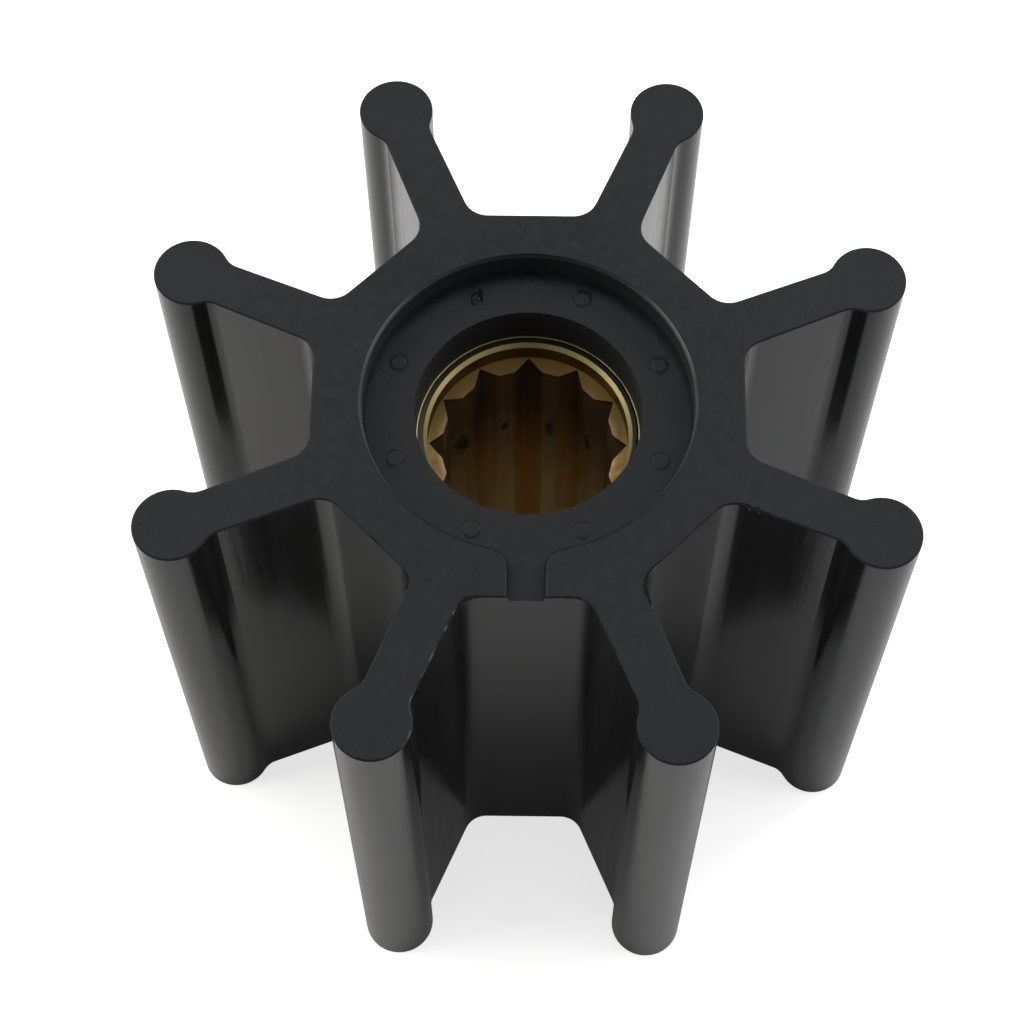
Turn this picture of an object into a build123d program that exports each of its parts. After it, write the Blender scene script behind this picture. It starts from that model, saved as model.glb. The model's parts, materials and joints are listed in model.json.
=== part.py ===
from build123d import *
from math import hypot, radians, tan
import os

# A flexible pump impeller: rubber vanes moulded round a splined brass bush.
# Z is the shaft axis, the origin is the centre of the bottom end face, and the
# notch in the top end points along -Y. All sizes are in millimetres.

# ---- the whole impeller ----
tip_diameter = 95.0  # over the round tips of opposite vanes
height = 74.0  # between the two flat end faces
vane_count = 8

# ---- vanes and hub ----
bulb_diameter = 8.9  # the round tip of a vane
vane_root_thickness = 6.1  # where a vane leaves the hub
vane_neck_thickness = 5.5  # where a vane meets its bulb
hub_width = 49.8  # over opposite flats; a flat lies between each two vanes
root_fillet_radius = 3.0  # between vane and hub
neck_fillet_radius = 2.5  # between vane and bulb
end_edge_break = 0.2  # chamfer round both end faces

# ---- recess in each end, and the notch in the top one ----
recess_diameter = 38.3
recess_depth = 3.1
recess_edge_break = 0.35  # chamfer round the rim of each recess and of the notch
recess_floor_bevel = 0.3  # left standing where wall and floor meet
seal_bore_diameter = 26.5  # smooth rubber bore outside the bush
notch_width = 3.95
notch_depth = 0.95
notch_mouth_radius = 2.4  # where the notch flares into the recess

# ---- ejector marks on the floor of the top recess ----
mark_circle_diameter = 33.0
mark_diameter = 2.5
mark_depth = 0.25

# ---- splined brass bush ----
bush_setback = 8.5  # from each end face of the rubber to the bush
bush_diameter = 32.0  # over the lands between the keying flutes
flute_count = 8
flute_radius = 1.8
bush_edge_chamfer = 0.6
counterbore_depth = 2.75
counterbore_clearance = 0.1  # outside the roots of the spline, on radius
counterbore_chamfer = 0.45

# ---- spline ----
groove_count = 12
groove_angle = 90.0  # between the flanks of one V groove
spline_major_diameter = 23.5  # across the roots of opposite grooves
spline_minor_diameter = 20.4  # across the crests of opposite teeth
crest_edge_radius = 1.0  # rounds both edges of a tooth's crest
tooth_end_slope = 22.0  # of the teeth's end faces, down towards the axis
groove_run_in = 1.5  # how far the V of a groove reaches inside the crests

touching = 0.01  # two places closer than this count as one

# ---- sizes that follow from the ones above ----
vane_pitch = 360 / vane_count
tip_radius = tip_diameter / 2
bulb_radius = bulb_diameter / 2
bulb_centre_radius = tip_radius - bulb_radius
hub_flat_distance = hub_width / 2
mid_vane_radius = (hub_flat_distance + bulb_centre_radius) / 2
recess_radius = recess_diameter / 2
seal_bore_radius = seal_bore_diameter / 2
bush_radius = bush_diameter / 2
bush_top = height - bush_setback
bush_length = bush_top - bush_setback
spline_major_radius = spline_major_diameter / 2
spline_minor_radius = spline_minor_diameter / 2
counterbore_radius = spline_major_radius + counterbore_clearance
groove_reach = spline_major_radius - spline_minor_radius + groove_run_in
groove_half_width = groove_reach * tan(radians(groove_angle / 2))
tooth_end_drop = (counterbore_radius - spline_minor_radius) * tan(radians(tooth_end_slope))

bottom_end = Plane.XY
top_end = Plane.XY.offset(height)
recess_floor = top_end.offset(-recess_depth)
bush_bottom = Plane.XY.offset(bush_setback)

os.makedirs("parts", exist_ok=True)


def distance_from_axis(shape):
    """Distance from the shaft axis to the middle of a vertex, edge or face."""
    middle = shape.center()
    return hypot(middle.X, middle.Y)


def is_vane_root(edge):
    """True for an upright edge where the flank of a vane meets a flat of the hub."""
    return hub_flat_distance < distance_from_axis(edge) < mid_vane_radius


def is_vane_neck(edge):
    """True for an upright edge where the flank of a vane meets its bulb."""
    return mid_vane_radius < distance_from_axis(edge) < bulb_centre_radius


def is_recess_edge(edge):
    """True for the edges of a recess and its notch, both at the rim and at the floor."""
    end_face_edge = hub_flat_distance - end_edge_break
    return seal_bore_radius < distance_from_axis(edge) < end_face_edge - touching


def is_recess_corner(vertex):
    """True where a side of the notch meets the round wall of the recess."""
    return abs(distance_from_axis(vertex) - recess_radius) < touching


def is_crest_edge(vertex):
    """True where the flank of a groove meets the crest of a tooth."""
    return abs(distance_from_axis(vertex) - spline_minor_radius) < touching


# ---- outline of the vanes, seen along the shaft ----
with BuildSketch() as vane_outline:
    RegularPolygon(hub_flat_distance, vane_count, major_radius=False, rotation=vane_pitch / 2)
    with PolarLocations(0, vane_count, start_angle=vane_pitch / 2):
        Polygon(
            (0, -vane_root_thickness / 2),
            (hub_flat_distance, -vane_root_thickness / 2),
            (bulb_centre_radius, -vane_neck_thickness / 2),
            (bulb_centre_radius, vane_neck_thickness / 2),
            (hub_flat_distance, vane_root_thickness / 2),
            (0, vane_root_thickness / 2),
            align=None,
        )
    with PolarLocations(bulb_centre_radius, vane_count, start_angle=vane_pitch / 2):
        Circle(bulb_radius)

# ---- the solid that the bush takes up in the rubber, with flutes that key it there ----
with BuildPart() as bush_envelope:
    with BuildSketch(bush_bottom):
        Circle(bush_radius)
    extrude(amount=bush_length)
    chamfer(bush_envelope.faces().filter_by(Axis.Z).edges(), bush_edge_chamfer)
    with BuildSketch(bush_bottom):
        with PolarLocations(bush_radius, flute_count):
            Circle(flute_radius)
    extrude(amount=bush_length, mode=Mode.SUBTRACT)

# ---- rubber vanes and hub, one moulding ----
with BuildPart() as rubber_body:
    with BuildSketch(bottom_end):
        add(vane_outline.sketch)
    extrude(amount=height)
    upright_edges = rubber_body.edges().filter_by(Axis.Z)
    fillet(upright_edges.filter_by(is_vane_root), root_fillet_radius)
    fillet(rubber_body.edges().filter_by(Axis.Z).filter_by(is_vane_neck), neck_fillet_radius)
    chamfer(rubber_body.faces().filter_by(Axis.Z).edges(), end_edge_break)

    # top recess, and the shallow notch that runs out between two vanes
    with BuildSketch(top_end):
        Circle(recess_radius)
    extrude(amount=-recess_depth, mode=Mode.SUBTRACT)
    with BuildSketch(top_end) as notch:
        Circle(recess_radius)
        with Locations((0, -hub_flat_distance / 2)):
            Rectangle(notch_width, hub_flat_distance + root_fillet_radius)
        fillet(notch.vertices().filter_by(is_recess_corner), notch_mouth_radius)
    extrude(amount=-notch_depth, mode=Mode.SUBTRACT)
    recess_edges = rubber_body.edges().filter_by(is_recess_edge)
    chamfer(recess_edges.filter_by_position(Axis.Z, height, height), recess_edge_break)
    recess_edges = rubber_body.edges().filter_by(is_recess_edge)
    floor_height = height - recess_depth
    floor_edges = recess_edges.filter_by_position(Axis.Z, floor_height, floor_height)
    chamfer(floor_edges, recess_floor_bevel)

    # bottom recess
    with BuildSketch(bottom_end):
        Circle(recess_radius)
    extrude(amount=recess_depth, mode=Mode.SUBTRACT)
    recess_edges = rubber_body.edges().filter_by(is_recess_edge)
    chamfer(recess_edges.filter_by_position(Axis.Z, 0, 0), recess_edge_break)
    recess_edges = rubber_body.edges().filter_by(is_recess_edge)
    floor_edges = recess_edges.filter_by_position(Axis.Z, recess_depth, recess_depth)
    chamfer(floor_edges, recess_floor_bevel)

    # smooth bore from end to end, and the seat of the bush
    Hole(seal_bore_radius)
    add(bush_envelope.part, mode=Mode.SUBTRACT)

    # round ejector marks, one in line with each vane
    with BuildSketch(recess_floor):
        with PolarLocations(mark_circle_diameter / 2, vane_count, start_angle=vane_pitch / 2):
            Circle(mark_diameter / 2)
    extrude(amount=-mark_depth, mode=Mode.SUBTRACT)

rubber_body.part.label = "rubber_body"
export_step(rubber_body.part, "parts/rubber_body.step")

# ---- brass bush: turned, broached, then counterbored at both ends ----
with BuildPart() as brass_insert:
    add(bush_envelope.part)

    # bore with V grooves, the root of one pointing along +Y
    with BuildSketch(bush_bottom) as splined_bore:
        Circle(spline_minor_radius)
        with PolarLocations(spline_major_radius, groove_count, start_angle=90):
            Polygon(
                (0, 0),
                (-groove_reach, groove_half_width),
                (-groove_reach, -groove_half_width),
                align=None,
            )
        fillet(splined_bore.vertices().filter_by(is_crest_edge), crest_edge_radius)
    extrude(amount=bush_length, mode=Mode.SUBTRACT)

    # counterbores, with sloping ends on the teeth
    with BuildSketch(Plane.XZ):
        with BuildLine():
            Polyline(
                (0, bush_setback),
                (counterbore_radius + counterbore_chamfer, bush_setback),
                (counterbore_radius, bush_setback + counterbore_chamfer),
                (counterbore_radius, bush_setback + counterbore_depth),
                (spline_minor_radius, bush_setback + counterbore_depth + tooth_end_drop),
                (spline_minor_radius, bush_top - counterbore_depth - tooth_end_drop),
                (counterbore_radius, bush_top - counterbore_depth),
                (counterbore_radius, bush_top - counterbore_chamfer),
                (counterbore_radius + counterbore_chamfer, bush_top),
                (0, bush_top),
                close=True,
            )
        make_face()
    revolve(axis=Axis.Z, mode=Mode.SUBTRACT)

brass_insert.part.label = "brass_insert"
export_step(brass_insert.part, "parts/brass_insert.step")
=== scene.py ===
import json
import math
from types import SimpleNamespace

import bpy
from mathutils import Matrix, Vector, noise


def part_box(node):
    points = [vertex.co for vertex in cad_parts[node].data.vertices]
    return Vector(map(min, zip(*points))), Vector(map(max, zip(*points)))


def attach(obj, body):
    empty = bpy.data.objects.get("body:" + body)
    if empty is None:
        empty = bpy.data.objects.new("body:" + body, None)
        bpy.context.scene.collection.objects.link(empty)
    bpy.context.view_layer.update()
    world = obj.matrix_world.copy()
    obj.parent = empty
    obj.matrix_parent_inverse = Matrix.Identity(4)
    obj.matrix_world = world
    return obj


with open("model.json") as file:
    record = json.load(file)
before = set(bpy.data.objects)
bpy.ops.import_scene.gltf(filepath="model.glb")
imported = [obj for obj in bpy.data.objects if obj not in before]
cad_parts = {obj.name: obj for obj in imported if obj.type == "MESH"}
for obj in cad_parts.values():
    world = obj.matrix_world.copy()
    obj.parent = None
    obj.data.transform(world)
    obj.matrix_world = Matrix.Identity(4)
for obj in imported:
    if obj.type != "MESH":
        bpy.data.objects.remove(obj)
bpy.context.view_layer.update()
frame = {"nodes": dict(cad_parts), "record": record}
scene = bpy.context.scene

# A pump impeller: rubber vanes moulded round a splined brass bush. Z is the shaft axis, and the
# notch in the top end points along -Y. Lengths are in metres, apart from those said to be in mm.
MM = 0.001
VANE_COUNT = 8
VANE_PITCH = 360 / VANE_COUNT  # in degrees, from one vane to the next

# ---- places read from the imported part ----
mounts = {mount["name"]: mount for mount in frame["record"]["mounts"]}
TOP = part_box("rubber_body")[1].z
BUSH_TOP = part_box("brass_insert")[1].z
BORE_RADIUS = mounts["seal_bore_top"]["dims"]["r_mm"] * MM

# ---- camera: where the reference view was taken from ----
CAMERA_AZIMUTH = math.radians(0.768)
CAMERA_ELEVATION = math.radians(63.993)
CAMERA_ROLL = math.radians(-0.034)
CAMERA_DISTANCE = 271.77 * MM
CAMERA_TARGET = Vector((-1.685 * MM, -14.465 * MM, TOP))
CAMERA_CLIP_START = 10 * MM
CAMERA_LENS = 85.42  # in mm, as the sensor's width
SENSOR_WIDTH = 36.0

# ---- floor and light ----
FLOOR_HALF_WIDTH = 3.0
FLOOR_COLOR = (0.8, 0.8, 0.8)
FLOOR_ROUGHNESS = 0.9
FLOOR_CAMERA_GLOW = 0.7
FLOOR_GLOSSY_GLOW = 0.03
WORLD_STRENGTH = 0.16
LAMP_SIZE = 0.5
LAMP_DISTANCE = 0.8
LAMP_TARGET = Vector((0, 0, 0.04))
WHITE = (1.0, 1.0, 1.0)
WARM = (1.0, 0.985, 0.95)
COOL = (0.985, 0.99, 1.0)
PALE_COOL = (0.99, 0.995, 1.0)
LAMPS = [  # azimuth and elevation in degrees, light given to a facing surface, colour
    ("right", 0, 25, 0.42, COOL),
    ("back_right", 45, 25, 0.67, PALE_COOL),
    ("back_left", 135, 25, 0.63, WARM),
    ("left", 180, 25, 0.57, WARM),
    ("front_left", 225, 25, 0.05, WARM),
    ("front_right", 315, 25, 0.07, WHITE),
    ("top", 90, 70, 0.095, WHITE),
]

# ---- the recess in the top end, and its notch ----
RECESS_DEPTH = 3.1 * MM
RECESS_FLOOR = TOP - RECESS_DEPTH
NOTCH_MOUTH_X = 4.375 * MM  # centre of the round on each side where the notch meets the recess
NOTCH_MOUTH_Y = -21.1 * MM

# ---- ejector pips: each fills a round mark in the floor of the recess ----
MARK_CIRCLE_RADIUS = 16.5 * MM
MARK_DEPTH = 0.25  # in mm, as the three below
PIP_LOWEST = -0.22  # the deepest place in a pip's face
PIP_GROOVE_RADIUS = 1.08
PIP_RINGS = [  # radii of a pip's rings of points, close together at its groove
    1.24, 1.2, 1.16, 1.12, 1.08, 1.04, 1.0, 0.94, 0.88, 0.8, 0.7, 0.6, 0.5, 0.4, 0.3, 0.2, 0.1
]
PIP_SEGMENTS = 48
TORN_PIP = 2

# ---- rubber film and turned lip on the end face of the bush ----
FILM_INNER_RADIUS = 12.42 * MM
FILM_OUTER_RADIUS = 12.98 * MM
FILM_THICKNESS = 0.12 * MM
FILM_START = math.radians(-75)
FILM_END = math.radians(82)
FILM_STEPS = 240
LIP_HEIGHT = 0.07 * MM
LIP_WIDTH = 0.27 * MM
LIP_STEPS = 360
SUNK = 0.03 * MM  # how far film and lip reach into the bush

# ---- flash on the top edge, in mm ----
HUB_FLAT = 24.9  # from the axis to a flat of the hub
FLAT_END = 5.0  # half the length of a flat's straight part
CORNER_RADIUS = 3.0  # between flat and vane
CORNER_TURN = math.radians(90 - VANE_PITCH / 2)
FLASH_STEP = 0.1  # between the sections of a piece
FLASH = [  # turn from the front valley in degrees, side, start and end along its edge, width
    (0, -1, 0.3, 2.6, 0.6),
    (0, 1, -1.5, 0.6, 0.28),
    (45, -1, -0.8, 0.9, 0.16),
    (45, -1, 1.0, 4.7, 0.32),
    (45, 1, 2.8, 6.0, 0.42),
    (-45, 1, 0.8, 3.1, 0.2),
    (-45, 1, -4.9, -3.9, 0.1),
]

# ---- colours; where there are two, a noise or a place blends the first into the second ----
RUBBER_SIDE = ((0.0076, 0.0078, 0.0076), (0.0050, 0.0053, 0.0053))
RUBBER_RECESS_WALL = (0.0100, 0.0110, 0.0120)
RUBBER_TOP = ((0.0030, 0.0042, 0.0068), (0.0065, 0.0078, 0.0100))
RUBBER_BEVEL = ((0.005, 0.006, 0.007), (0.015, 0.0165, 0.0195))
# Painted shade: the bevel at the foot of the recess wall is coloured near-black for the band of
# shade there.
RUBBER_FLOOR_BEVEL_SHADE = (0.0015, 0.0018, 0.0020)
# Painted shade: the inner half of the notch's bevel is coloured near-black for the shade in the
# notch's corners.
RUBBER_NOTCH_SHADE = (0.0010, 0.0012, 0.0015)
# Painted shade: the tops of the flash fins are coloured near-black for the shadowed gaps and torn
# edges along the top edge.
RUBBER_FLASH_SHADE = (0.0010, 0.0011, 0.0013)
BRASS_CREST = ((0.36, 0.275, 0.20), (1.0, 0.74, 0.31))
BRASS_GROOVE = ((0.31, 0.24, 0.18), (1.0, 0.73, 0.33))
BRASS_SPOT = (0.05, 0.035, 0.03)
BRASS_TOOTH_END = ((0.24, 0.147, 0.043), (0.30, 0.182, 0.054))
# Painted shade: the tooth ends are darker towards the left and right.
BRASS_TOOTH_END_SIDE_SHADE = (0.070, 0.043, 0.013)
BRASS_RIM = ((0.35, 0.285, 0.125), (0.42, 0.345, 0.155))
# Painted shade: the rim is darker towards the left and right.
BRASS_RIM_SIDE_SHADE = (0.20, 0.16, 0.08)
BRASS_FACE = (0.095, 0.088, 0.060)

# ---- roughness; where there are two, a noise or a place blends the first into the second ----
FLANK_ROUGHNESS = (0.13, 0.19)
NEAR_HUB_ROUGHNESS = 0.23
FRONT_VALLEY_ROUGHNESS = 0.32
RECESS_WALL_ROUGHNESS = 0.6
RECESS_RIM_ROUGHNESS = (0.5, 0.28)
OUTER_EDGE_ROUGHNESS = (0.7, 1.0)
WORN_EDGE_ROUGHNESS = (0.36, 1.0)
NOTCH_FRONT_ROUGHNESS = 0.38
TOP_ROUGHNESS = (0.38, 0.66)
MATT = 1.0
BRASS_RIM_ROUGHNESS = 0.42
BRASS_BORE_ROUGHNESS = (0.35, 0.5)
TOOTH_END_METALLIC = 0.93

BORE_SPOTS = [  # dark stains down the bore: x, y, z, half width and half height in mm
    (-3.0, 9.8, 48.9, 0.45, 0.9),
    (2.7, 9.9, 48.4, 0.6, 1.9),
    (7.4, 7.1, 50.0, 0.5, 1.8),
    (-8.0, 6.3, 50.5, 1.2, 2.2),
]


# ---- small helpers ----
def smooth_step(low, high, x):
    """0 below low, 1 above high, and a smooth step between them."""
    share = min(max((x - low) / (high - low), 0), 1)
    return share * share * (3 - 2 * share)


def wander(x, seed):
    """Smooth noise from -1 to 1 along a line, the same on each run."""
    return noise.noise(Vector((x, seed * 7.31, seed * 1.93)))


def set_material(obj, material):
    """Makes a material the only one of an object."""
    obj.data.materials.clear()
    obj.data.materials.append(material)


def new_piece(name, verts, faces, material, smooth=True):
    """A visible piece that rides on the part's only body."""
    mesh = bpy.data.meshes.new(name)
    mesh.from_pydata([tuple(v) for v in verts], [], faces)
    mesh.update()
    piece = bpy.data.objects.new(name, mesh)
    scene.collection.objects.link(piece)
    set_material(piece, material)
    if smooth:
        mesh.polygons.foreach_set("use_smooth", [True] * len(mesh.polygons))
    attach(piece, "root")
    return piece


def tube_faces(first, rings, corners, closed=False):
    """Faces of a tube whose rings of corners follow each other in the points, from index first."""
    faces = []
    for ring in range(rings if closed else rings - 1):
        here = first + ring * corners
        there = first + (ring + 1) % rings * corners
        for corner in range(corners):
            after = (corner + 1) % corners
            faces.append((here + corner, there + corner, there + after, here + after))
    if not closed:
        last = first + (rings - 1) * corners
        faces.append(tuple(range(first, first + corners)))
        faces.append(tuple(reversed(range(last, last + corners))))
    return faces


# ---- building blocks of the materials ----
MIX_SOCKETS = {"FLOAT": (2, 3, 0), "RGBA": (6, 7, 2)}  # a Mix node's two inputs and its output


def new_material(name):
    """A node material, its tree and its Principled shader."""
    material = bpy.data.materials.new(name)
    material.use_nodes = True
    tree = material.node_tree
    return material, tree, tree.nodes["Principled BSDF"]


def plug(tree, value, socket):
    """Gives an input its value: the output of another node, a number, a colour or a vector."""
    if isinstance(value, bpy.types.NodeSocket):
        tree.links.new(value, socket)
    elif socket.type == "RGBA":
        socket.default_value = (*value, 1)
    else:
        socket.default_value = value


def add_node(tree, kind, **values):
    """A node with its inputs (by name) and properties set from the values."""
    node = tree.nodes.new(kind)
    for key, value in values.items():
        if key in node.inputs:
            plug(tree, value, node.inputs[key])
        else:
            setattr(node, key, value)
    return node


def link_math(tree, operation, first, second=0.0):
    """The result of a Math node on outputs or numbers."""
    node = add_node(tree, "ShaderNodeMath", operation=operation)
    plug(tree, first, node.inputs[0])
    plug(tree, second, node.inputs[1])
    return node.outputs[0]


def link_vector(tree, operation, first, second=(0, 0, 0)):
    """The result of a Vector Math node on outputs or vectors."""
    node = add_node(tree, "ShaderNodeVectorMath", operation=operation)
    plug(tree, first, node.inputs[0])
    plug(tree, second, node.inputs[1])
    return node.outputs["Value" if operation == "LENGTH" else "Vector"]


def ramp(tree, value, low, high, at_low=0.0, at_high=1.0):
    """A straight ramp of an output between two of its values, level outside them."""
    node = add_node(tree, "ShaderNodeMapRange", Value=value)
    limits = {"From Min": low, "From Max": high, "To Min": at_low, "To Max": at_high}
    for name, number in limits.items():
        node.inputs[name].default_value = number
    return node.outputs["Result"]


def ramp_mm(tree, length, low, high, at_low=0.0, at_high=1.0):
    """A ramp of a length between two values in mm."""
    return ramp(tree, length, low * MM, high * MM, at_low, at_high)


def all_of(tree, mask, *others):
    """1 where every one of the masks is 1."""
    for other in others:
        mask = link_math(tree, "MULTIPLY", mask, other)
    return mask


def link_mix(tree, kind, mask, first, second):
    """The result of a Mix node; its kind says which of its sockets count."""
    in_first, in_second, out = MIX_SOCKETS[kind]
    node = add_node(tree, "ShaderNodeMix", data_type=kind)
    plug(tree, mask, node.inputs[0])
    plug(tree, first, node.inputs[in_first])
    plug(tree, second, node.inputs[in_second])
    return node.outputs[out]


def blend(tree, mask, first, second):
    """The first of two numbers where the mask is 0, the second where it is 1."""
    return link_mix(tree, "FLOAT", mask, first, second)


def blend_color(tree, mask, first, second):
    """The first of two colours where the mask is 0, the second where it is 1."""
    return link_mix(tree, "RGBA", mask, first, second)


def grain(tree, here, scale, detail=2.0, stretch=(1, 1, 1)):
    """Noise that is fixed to the object, with its scale per metre."""
    mapping = add_node(tree, "ShaderNodeMapping", Vector=here.place, Scale=stretch)
    texture = add_node(
        tree, "ShaderNodeTexNoise", Vector=mapping.outputs["Vector"], Scale=scale, Detail=detail
    )
    return texture.outputs["Fac"]


def places(tree):
    """Outputs that say where a point is on the object, and how far its surface faces up or down."""
    coordinates = add_node(tree, "ShaderNodeTexCoord")
    place = coordinates.outputs["Object"]
    axes = add_node(tree, "ShaderNodeSeparateXYZ", Vector=place).outputs
    facing = add_node(tree, "ShaderNodeSeparateXYZ", Vector=coordinates.outputs["Normal"]).outputs
    flat = add_node(tree, "ShaderNodeCombineXYZ", X=axes["X"], Y=axes["Y"])
    return SimpleNamespace(
        place=place,
        x=axes["X"],
        y=axes["Y"],
        height=axes["Z"],
        beside=link_math(tree, "ABSOLUTE", axes["X"]),  # to the left or right of the notch's middle
        radius=link_vector(tree, "LENGTH", flat.outputs[0]),
        level=link_math(tree, "ABSOLUTE", facing["Z"]),  # 1 on level faces, 0 on upright ones
    )


# ---- rubber ----
def worn_edge(tree, here):
    """A mask for the edge of the front left vane that looks towards the notch."""
    half_pitch = math.radians(VANE_PITCH / 2)
    across_x = link_math(tree, "MULTIPLY", here.x, math.cos(half_pitch))
    across_y = link_math(tree, "MULTIPLY", here.y, -math.sin(half_pitch))
    across = link_math(tree, "ADD", across_x, across_y)
    return all_of(
        tree,
        ramp_mm(tree, across, 0.0, 0.5),
        ramp_mm(tree, here.x, -1.5, -2.0),
        ramp_mm(tree, here.y, -26.2, -26.8),
    )


def notch_bevel(tree, here):
    """Masks for the bevel round the notch: its inner half, which gets painted shade, and its bright
    front end.
    """
    across = link_math(tree, "SUBTRACT", here.beside, NOTCH_MOUTH_X)
    along = link_math(tree, "SUBTRACT", here.y, NOTCH_MOUTH_Y)
    along = link_math(tree, "MAXIMUM", along, 0.0)
    across_squared = link_math(tree, "MULTIPLY", across, across)
    along_squared = link_math(tree, "MULTIPLY", along, along)
    gap_squared = link_math(tree, "ADD", across_squared, along_squared)
    gap = link_math(tree, "POWER", gap_squared, 0.5)
    out = ramp_mm(tree, gap, 2.40, 2.05)
    # Painted shade goes where this mask is 1.
    dark = all_of(
        tree,
        ramp_mm(tree, here.beside, 4.0, 3.8),
        ramp_mm(tree, here.y, -18.0, -18.2),
        ramp(tree, out, 0.70, 0.60),
    )
    bright = all_of(
        tree,
        ramp_mm(tree, here.beside, 2.40, 2.35),
        ramp_mm(tree, here.y, -21.5, -22.5),
    )
    return dark, bright


def rubber_masks(tree, here):
    """Masks for the parts of the rubber that differ in look."""
    notch_shade, notch_bright = notch_bevel(tree, here)
    return SimpleNamespace(
        top=ramp(tree, here.level, 0.93, 0.98),
        bevel=ramp(tree, here.level, 0.3, 0.5),  # 1 on the tops too
        # Tops of the flash fins, which get painted shade.
        flash=ramp(tree, here.height, TOP + 0.01 * MM, TOP + 0.02 * MM),
        outside=ramp_mm(tree, here.radius, 20.0, 21.0),  # 0 inside the recess and the bore
        near_hub=ramp_mm(tree, here.radius, 29.0, 27.0),
        front_valley=all_of(
            tree, ramp_mm(tree, here.beside, 8.5, 7.0), ramp_mm(tree, here.y, -20.0, -21.0)
        ),
        # The bevel at the recess floor, where this mask is 0, gets painted shade.
        rim=ramp_mm(tree, here.radius, 19.14, 19.16),  # 0 on the bevel at the recess's floor
        rim_crest=ramp_mm(tree, here.radius, 19.30, 19.36),  # the outer half of the rim's bevel
        outer_edge=ramp_mm(tree, here.radius, 19.8, 20.0),  # the edge of hub and vanes
        worn_edge=worn_edge(tree, here),
        notch_shade=notch_shade,
        notch_bright=notch_bright,
    )


def by_part(tree, mix, masks, side, bevel, top, flash):
    """The looks of the rubber's parts put together by mix, which is blend or blend_color."""
    solid = mix(tree, masks.top, mix(tree, masks.bevel, side, bevel), top)
    return mix(tree, masks.flash, solid, flash)


def rubber_roughness(tree, here, masks, noises):
    """Streaked sides, dull bevels with a few worn places, and mottled tops."""
    flank = ramp(tree, noises.streaks, 0.3, 0.7, *FLANK_ROUGHNESS)
    wall = blend(tree, masks.near_hub, flank, NEAR_HUB_ROUGHNESS)
    wall = blend(tree, masks.front_valley, wall, FRONT_VALLEY_ROUGHNESS)
    side = blend(tree, masks.outside, RECESS_WALL_ROUGHNESS, wall)

    rim = blend(tree, masks.rim_crest, *RECESS_RIM_ROUGHNESS)
    rim = blend(tree, masks.rim, MATT, rim)
    dull = ramp(tree, noises.patches, 0.3, 0.7, *OUTER_EDGE_ROUGHNESS)
    worn = ramp(tree, noises.dashes, 0.44, 0.56, *WORN_EDGE_ROUGHNESS)
    outer = blend(tree, masks.worn_edge, dull, worn)
    bevel = blend(tree, masks.outer_edge, rim, outer)
    bevel = blend(tree, masks.notch_bright, bevel, NOTCH_FRONT_ROUGHNESS)
    bevel = blend(tree, masks.notch_shade, bevel, MATT)

    top = ramp_mm(tree, here.radius, 18.0, 44.0, *TOP_ROUGHNESS)
    mottle = ramp(tree, noises.patches, 0.25, 0.75, -0.07, 0.07)
    speckle = ramp(tree, noises.fine, 0.25, 0.75, -0.08, 0.08)
    cloud = ramp(tree, noises.clouds, 0.3, 0.7, -0.06, 0.06)
    for change in (mottle, speckle, cloud):
        top = link_math(tree, "ADD", top, change)
    return by_part(tree, blend, masks, side, bevel, top, MATT)


def rubber_color(tree, masks, noises):
    """Dark grey, paler in the recess's walls and bluer on the tops, with painted shade on the bevel
    at the recess floor, the inner half of the notch's bevel and the flash.
    """
    side = blend_color(tree, noises.streaks, *RUBBER_SIDE)
    side = blend_color(tree, masks.outside, RUBBER_RECESS_WALL, side)
    top = blend_color(tree, ramp(tree, noises.patches, 0.3, 0.7), *RUBBER_TOP)
    outer = blend_color(tree, ramp(tree, noises.patches, 0.35, 0.65), *RUBBER_BEVEL)
    # Painted shade on the bevel at the recess floor; the rim takes the top's colour.
    rim = blend_color(tree, masks.rim, RUBBER_FLOOR_BEVEL_SHADE, top)
    bevel = blend_color(tree, masks.outer_edge, rim, outer)
    # Painted shade on the inner half of the notch's bevel.
    bevel = blend_color(tree, masks.notch_shade, bevel, RUBBER_NOTCH_SHADE)
    # The flash fins are real; their near-black colour is painted shade.
    return by_part(tree, blend_color, masks, side, bevel, top, RUBBER_FLASH_SHADE)


def rubber_material():
    """Moulded rubber: satin tops with faint mottling, smoother sides with upright streaks."""
    material, tree, shader = new_material("rubber")
    shader.inputs["IOR"].default_value = 1.4
    here = places(tree)
    masks = rubber_masks(tree, here)
    noises = SimpleNamespace(
        patches=grain(tree, here, 800, 3.0),
        fine=grain(tree, here, 2600),
        clouds=grain(tree, here, 90),
        dashes=grain(tree, here, 620, 3.0),
        streaks=grain(tree, here, 900, stretch=(1, 1, 0.03)),
    )
    plug(tree, rubber_roughness(tree, here, masks, noises), shader.inputs["Roughness"])
    plug(tree, rubber_color(tree, masks, noises), shader.inputs["Base Color"])
    side_relief = link_math(tree, "MULTIPLY", noises.streaks, 0.6)
    relief = blend(tree, masks.top, side_relief, noises.fine)
    bump = add_node(tree, "ShaderNodeBump", Strength=0.6, Distance=0.03 * MM, Height=relief)
    plug(tree, bump.outputs["Normal"], shader.inputs["Normal"])
    return material


# ---- brass ----
def spot_mask(tree, here, ragged, spot):
    """1 in the middle of one of BORE_SPOTS, and 0 outside its ragged edge."""
    x, y, z, wide, tall = spot
    apart = link_vector(tree, "SUBTRACT", here.place, (x * MM, y * MM, z * MM))
    shrink = (1 / (wide * MM), 1 / (wide * MM), 1 / (tall * MM))
    gap = link_vector(tree, "LENGTH", link_vector(tree, "MULTIPLY", apart, shrink))
    return ramp(tree, link_math(tree, "ADD", gap, ragged), 0.5, 1.3, 0.85, 0.0)


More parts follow.
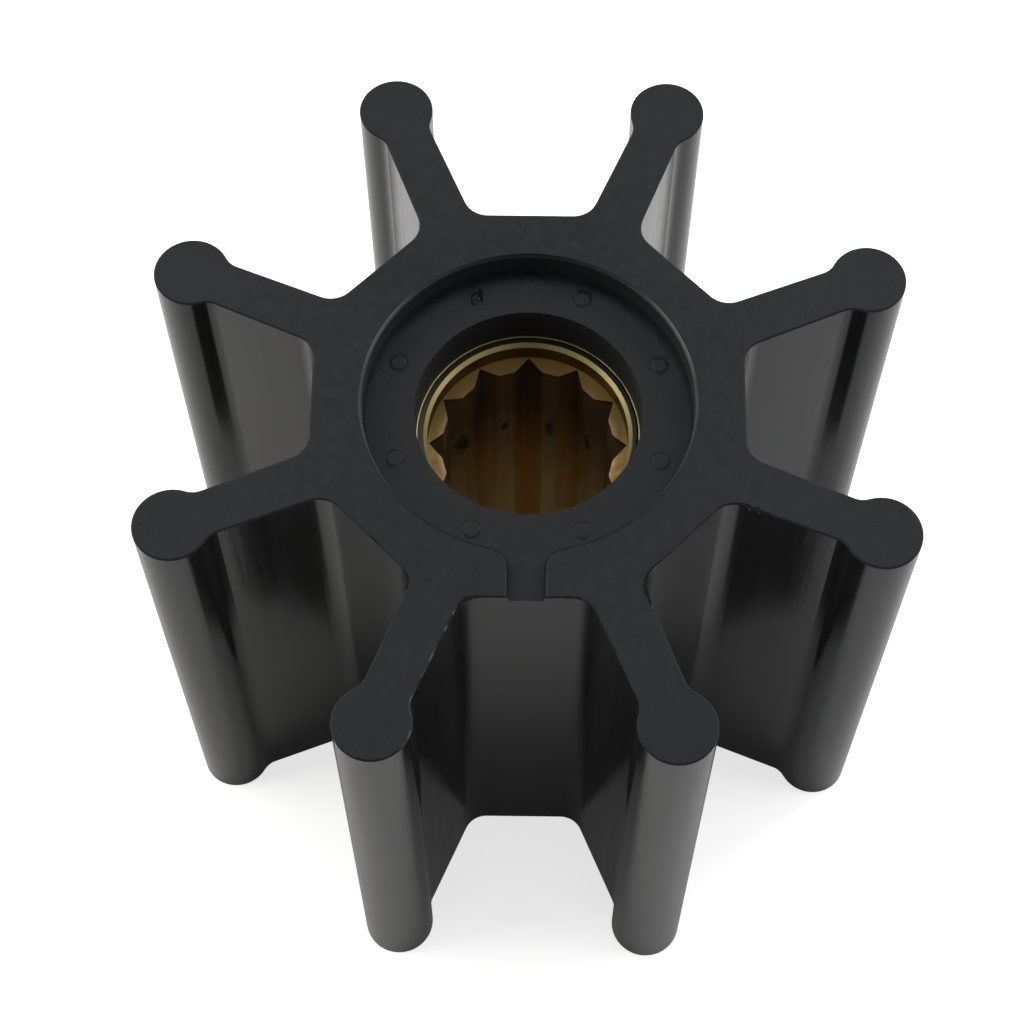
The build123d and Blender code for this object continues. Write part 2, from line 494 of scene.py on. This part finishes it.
def bore_color(tree, here, depth, streaks):
    """Brown near the top of the bore and golden far down it, with dark stains."""
    uneven = ramp(tree, streaks, 0.25, 0.75, -6 * MM, 6 * MM)
    deep = ramp_mm(tree, link_math(tree, "ADD", depth, uneven), 11, 30)
    crest = blend_color(tree, deep, *BRASS_CREST)
    groove = blend_color(tree, deep, *BRASS_GROOVE)
    by_radius = ramp_mm(tree, here.radius, 10.3, 11.2, 0.0, 0.6)
    by_streak = ramp(tree, streaks, 0.3, 0.7, 0.5, 0.0)
    color = blend_color(tree, link_math(tree, "ADD", by_radius, by_streak), crest, groove)
    ragged = ramp(tree, grain(tree, here, 900, 3.0), 0.2, 0.8, -0.5, 0.5)
    for spot in BORE_SPOTS:
        color = blend_color(tree, spot_mask(tree, here, ragged, spot), color, BRASS_SPOT)
    return color


def brass_material():
    """Turned brass, bright on the rim and stained brown down the splined bore, with painted shade on
    the rim and tooth ends towards the left and right.
    """
    material, tree, shader = new_material("brass")
    here = places(tree)
    depth = link_math(tree, "SUBTRACT", BUSH_TOP, here.height)
    is_inside = ramp_mm(tree, depth, 0.4, 0.7)
    is_bore = ramp_mm(tree, depth, 3.1, 4.2)
    is_face = all_of(tree, ramp(tree, here.level, 0.85, 0.95), ramp_mm(tree, depth, -0.03, -0.01))
    is_tooth_end = all_of(tree, is_inside, ramp(tree, here.level, 0.5, 0.8))
    streaks = grain(tree, here, 1100, 3.0, (1, 1, 0.02))
    stains = ramp(tree, grain(tree, here, 260, 3.0), 0.3, 0.7)

    tooth_end = blend_color(tree, stains, *BRASS_TOOTH_END)
    # Painted shade: tooth ends darken towards the left and right.
    side_shade = ramp_mm(tree, here.beside, 5.5, 11.0, 0.0, 0.9)
    tooth_end = blend_color(tree, side_shade, tooth_end, BRASS_TOOTH_END_SIDE_SHADE)
    inner = blend_color(tree, is_bore, tooth_end, bore_color(tree, here, depth, streaks))
    rim = blend_color(tree, stains, *BRASS_RIM)
    # Painted shade: the rim darkens towards the left and right.
    side_shade = ramp_mm(tree, here.beside, 6.0, 12.5, 0.0, 0.6)
    rim = blend_color(tree, side_shade, rim, BRASS_RIM_SIDE_SHADE)
    rim = blend_color(tree, is_face, rim, BRASS_FACE)

    bore_rough = ramp(tree, streaks, 0.3, 0.7, *BRASS_BORE_ROUGHNESS)
    rough = blend(tree, is_inside, BRASS_RIM_ROUGHNESS, bore_rough)
    metallic = ramp(tree, is_tooth_end, 0.0, 1.0, 1.0, TOOTH_END_METALLIC)
    plug(tree, blend_color(tree, is_inside, rim, inner), shader.inputs["Base Color"])
    plug(tree, metallic, shader.inputs["Metallic"])
    plug(tree, rough, shader.inputs["Roughness"])
    return material


# ---- ejector pips in the recess ----
def torn_height(x, y):
    """The torn pip: a gash, a pit, a flap and a crumb; x, y and the height in mm from its middle."""
    start, end = Vector((0.5, 0.95)), Vector((-0.5, -0.35))
    gash_line = end - start
    x += 0.12 * noise.noise(Vector((x * 2.2, y * 2.2, 4)))
    y += 0.12 * noise.noise(Vector((x * 2.2, y * 2.2, 9)))
    from_start = Vector((x, y)) - start
    share = min(max(from_start.dot(gash_line) / gash_line.length_squared, 0), 1)
    gap = (from_start - gash_line * share).length
    wide = 0.14 + 0.3 * smooth_step(0, 0.5, share) * smooth_step(0, 0.4, 1 - share)
    gash = 0.26 * (1 - smooth_step(wide * 0.4, wide * 1.3, gap))
    pit = 0.24 * (1 - smooth_step(0.2, 0.6, math.hypot((x - 0.4) * 1.1, (y + 0.15) * 0.9)))
    flap = 0.1 * (1 - smooth_step(0.05, 0.25, math.hypot(x - 0.75, (y - 0.55) * 0.6)))
    crumb = 0.14 * (1 - smooth_step(0.05, 0.3, math.hypot((x + 0.25) * 0.9, (y + 0.85) * 1.5)))
    return flap + crumb - max(gash, pit)


def pip_height(x, y, number):
    """Height above the recess floor, in mm, of a pip's face at a place from its middle."""
    far = math.hypot(x, y)
    turn = math.atan2(y, x)
    uneven = 0.5 + 0.5 * wander(3 * number + math.cos(turn - number), 11)
    groove = (0.012 + 0.045 * uneven) * math.exp(-((far - PIP_GROOVE_RADIUS) / 0.07) ** 2)
    dome = (0.05 + 0.015 * wander(number * 2.7, 2)) * (1 - smooth_step(0.7, 1.05, far))
    height = dome - groove + 0.01 * noise.noise(Vector((x * 3, y * 3, number)))
    if number == TORN_PIP:
        height = 0.3 * height + torn_height(x, y)
    return max(height, PIP_LOWEST)


def make_ejector_pips():
    """Eight low moulded pips, each filling its sunk mark; one is torn."""
    verts, faces = [], []
    rings = [PIP_RINGS[0]] + PIP_RINGS  # the first one stands on the floor of the mark
    for number in range(VANE_COUNT):
        turn = math.radians((number + 0.5) * VANE_PITCH)
        centre = Vector((math.cos(turn), math.sin(turn), 0)) * MARK_CIRCLE_RADIUS
        start = len(verts)
        for ring, radius in enumerate(rings):
            for step in range(PIP_SEGMENTS):
                angle = 2 * math.pi * step / PIP_SEGMENTS
                x, y = math.cos(angle) * radius, math.sin(angle) * radius
                rise = -MARK_DEPTH if ring == 0 else pip_height(x, y, number)
                verts.append(centre + Vector((x * MM, y * MM, RECESS_FLOOR + rise * MM)))
        for ring in range(len(rings) - 1):
            low = start + ring * PIP_SEGMENTS
            high = low + PIP_SEGMENTS
            for step in range(PIP_SEGMENTS):
                after = (step + 1) % PIP_SEGMENTS
                faces.append((low + step, low + after, high + after, high + step))
        last = len(verts) - PIP_SEGMENTS
        faces.append(tuple(range(last, len(verts))))
    return new_piece("ejector_pips", verts, faces, rubber)


# ---- film and lip on the end face of the bush ----
def sweep_points(section, start, end, steps, rings):
    """Points of a strip round the axis; section(angle) gives its corners as (radius, z)."""
    verts = []
    for ring in range(rings):
        angle = start + (end - start) * ring / steps
        for radius, z in section(angle):
            verts.append(Vector((math.cos(angle) * radius, math.sin(angle) * radius, z)))
    return verts


def film_section(angle):
    """Rubber film squeezed over the bush face, with a ragged inner edge."""
    x = angle * 9
    inner = FILM_INNER_RADIUS + 0.06 * MM * wander(x, 3) + 0.04 * MM * wander(x * 3.1, 4)
    outer = FILM_OUTER_RADIUS + 0.05 * MM * wander(x * 1.3, 5)
    thick = FILM_THICKNESS * (1 + 0.3 * wander(x * 1.7, 6))
    fade = smooth_step(0, 0.16, FILM_END - angle) * smooth_step(0, 0.1, angle - FILM_START)
    thick *= 0.15 + 0.85 * fade
    outer = inner + (outer - inner) * (0.25 + 0.75 * fade)
    return [
        (inner, BUSH_TOP - SUNK),
        (inner + 0.03 * MM, BUSH_TOP + thick * 0.6),
        (inner + 0.1 * MM, BUSH_TOP + thick),
        ((inner + outer) / 2, BUSH_TOP + thick * 1.05),
        (outer - 0.1 * MM, BUSH_TOP + thick),
        (outer - 0.03 * MM, BUSH_TOP + thick * 0.7),
        (outer, BUSH_TOP - SUNK),
    ]


def lip_section(angle):
    """The turned lip at the outside of the bush face."""
    x = angle * 5
    inner = BORE_RADIUS - LIP_WIDTH + 0.03 * MM * wander(x, 8)
    outer = BORE_RADIUS + 0.02 * MM
    high = LIP_HEIGHT * (1 + 0.25 * wander(x * 1.9, 9))
    return [
        (inner, BUSH_TOP - SUNK),
        (inner + 0.04 * MM, BUSH_TOP + high * 0.4),
        (inner + 0.13 * MM, BUSH_TOP + high),
        (outer, BUSH_TOP + high * 1.1),
        (outer, BUSH_TOP - SUNK),
    ]


def make_film():
    """The film of rubber over the right-hand part of the bush's end face."""
    rings = FILM_STEPS + 1
    verts = sweep_points(film_section, FILM_START, FILM_END, FILM_STEPS, rings)
    faces = tube_faces(0, rings, len(verts) // rings)
    return new_piece("bush_film", verts, faces, rubber)


def make_lip():
    """The lip all round the bush's end face."""
    verts = sweep_points(lip_section, 0, 2 * math.pi, LIP_STEPS, LIP_STEPS)
    faces = tube_faces(0, LIP_STEPS, len(verts) // LIP_STEPS, closed=True)
    return new_piece("bush_lip", verts, faces, brass)


# ---- flash on the top edge ----
def valley_edge(along):
    """Place on the edge of the front valley, and which way the rubber ends there.

    along is the distance in mm from the end of the flat: below 0 on the flat, then round the
    corner, then out along the vane.
    """
    turn = min(max(along / CORNER_RADIUS, 0), CORNER_TURN)
    beyond = max(along - CORNER_RADIUS * CORNER_TURN, 0)
    x = FLAT_END + min(along, 0) + CORNER_RADIUS * math.sin(turn) + beyond * math.cos(turn)
    y = -HUB_FLAT - CORNER_RADIUS * (1 - math.cos(turn)) - beyond * math.sin(turn)
    return Vector((x, y, 0)), Vector((-math.sin(turn), -math.cos(turn), 0))


def flash_section(along, fade, width, number):
    """Four corners of a bit of flash, in mm: each how far out from the edge, and how high."""
    wide = max(width * fade * (0.75 + 1.1 * wander(along * 2.6, number + 3)), 0.03)
    deep = 0.2 + wide * (0.5 + 0.4 * wander(along * 3.7, number + 8))
    return [(-deep, -0.05), (0.05 - deep, 0.05), (wide * 0.35, 0.04), (wide * 0.35 + 0.04, -0.25)]


def make_flash():
    """Torn bits of flash along the top edge of the rubber."""
    verts, faces = [], []
    for number, (valley, side, start, end, width) in enumerate(FLASH):
        spin = Matrix.Rotation(math.radians(valley), 3, "Z") @ Matrix.Diagonal((side, 1, 1))
        steps = max(4, round((end - start) / FLASH_STEP))
        first = len(verts)
        for step in range(steps + 1):
            along = start + (end - start) * step / steps
            edge, out = valley_edge(along)
            fade = math.sqrt(math.sin(math.pi * (step + 0.5) / (steps + 1)))
            section = flash_section(along, fade, width, number)
            for apart, z in section:
                verts.append((spin @ (edge + out * apart) + Vector((0, 0, TOP / MM + z))) * MM)
        faces += tube_faces(first, steps + 1, len(section))
    return new_piece("edge_flash", verts, faces, rubber, smooth=False)


# ---- stage, light and camera ----
def make_floor():
    """A plain pale floor, which camera rays and reflections see as brighter than it is lit."""
    mesh = bpy.data.meshes.new("floor")
    size = FLOOR_HALF_WIDTH
    corners = [(-size, -size, 0), (size, -size, 0), (size, size, 0), (-size, size, 0)]
    mesh.from_pydata(corners, [], [(0, 1, 2, 3)])
    floor = bpy.data.objects.new("floor", mesh)
    scene.collection.objects.link(floor)
    material, tree, shader = new_material("floor")
    shader.inputs["Base Color"].default_value = (*FLOOR_COLOR, 1)
    shader.inputs["Roughness"].default_value = FLOOR_ROUGHNESS
    shader.inputs["Specular IOR Level"].default_value = 0.0
    shader.inputs["Emission Color"].default_value = (*WHITE, 1)
    rays = add_node(tree, "ShaderNodeLightPath").outputs
    seen = link_math(tree, "MULTIPLY", rays["Is Camera Ray"], FLOOR_CAMERA_GLOW)
    mirrored = link_math(tree, "MULTIPLY", rays["Is Glossy Ray"], FLOOR_GLOSSY_GLOW)
    glow = link_math(tree, "ADD", mirrored, seen)
    plug(tree, glow, shader.inputs["Emission Strength"])
    set_material(floor, material)
    return floor


def make_world():
    """A plain world: white to the camera, and a weak even light on the object."""
    world = bpy.data.worlds.new("world")
    scene.world = world
    world.use_nodes = True
    tree = world.node_tree
    background = tree.nodes["Background"]
    background.inputs["Color"].default_value = (*WHITE, 1)
    rays = add_node(tree, "ShaderNodeLightPath").outputs
    strength = ramp(tree, rays["Is Camera Ray"], 0.0, 1.0, WORLD_STRENGTH, 1.0)
    plug(tree, strength, background.inputs["Strength"])


def make_lamp(name, azimuth, elevation, level, color):
    """A square soft lamp that aims at the object; level 1 lights a facing white surface to white."""
    turn, rise = math.radians(azimuth), math.radians(elevation)
    data = bpy.data.lights.new(name, "AREA")
    data.shape = "SQUARE"
    data.size = LAMP_SIZE
    data.energy = level * (math.pi * LAMP_DISTANCE) ** 2
    data.color = color
    lamp = bpy.data.objects.new(name, data)
    away = Vector((math.cos(turn) * math.cos(rise), math.sin(turn) * math.cos(rise), math.sin(rise)))
    lamp.location = LAMP_TARGET + away * LAMP_DISTANCE
    lamp.rotation_euler = (-away).to_track_quat("-Z", "Y").to_euler()
    lamp.visible_camera = False
    scene.collection.objects.link(lamp)


def make_camera():
    """The scene's camera; its azimuth counts from straight in front of the notch."""
    azimuth, elevation = CAMERA_AZIMUTH, CAMERA_ELEVATION
    out = math.cos(elevation)
    back = Vector((math.sin(azimuth) * out, -math.cos(azimuth) * out, math.sin(elevation)))
    right = Vector((math.cos(azimuth), math.sin(azimuth), 0))
    up = back.cross(right)
    axes = Matrix((right, up, back)).transposed().to_4x4()
    data = bpy.data.cameras.new("camera")
    data.sensor_width = SENSOR_WIDTH
    data.lens = CAMERA_LENS
    data.clip_start = CAMERA_CLIP_START
    camera = bpy.data.objects.new("camera", data)
    scene.collection.objects.link(camera)
    roll = Matrix.Rotation(CAMERA_ROLL, 4, "Z")
    place = Matrix.Translation(CAMERA_TARGET + back * CAMERA_DISTANCE)
    camera.matrix_world = place @ axes @ roll
    scene.camera = camera


# ---- the whole scene ----
rubber = rubber_material()
brass = brass_material()
set_material(frame["nodes"]["rubber_body"], rubber)
set_material(frame["nodes"]["brass_insert"], brass)

make_ejector_pips()
make_flash()
make_film()
make_lip()

make_floor()
make_world()
for lamp in LAMPS:
    make_lamp(*lamp)
make_camera()

scene.view_settings.view_transform = "Standard"
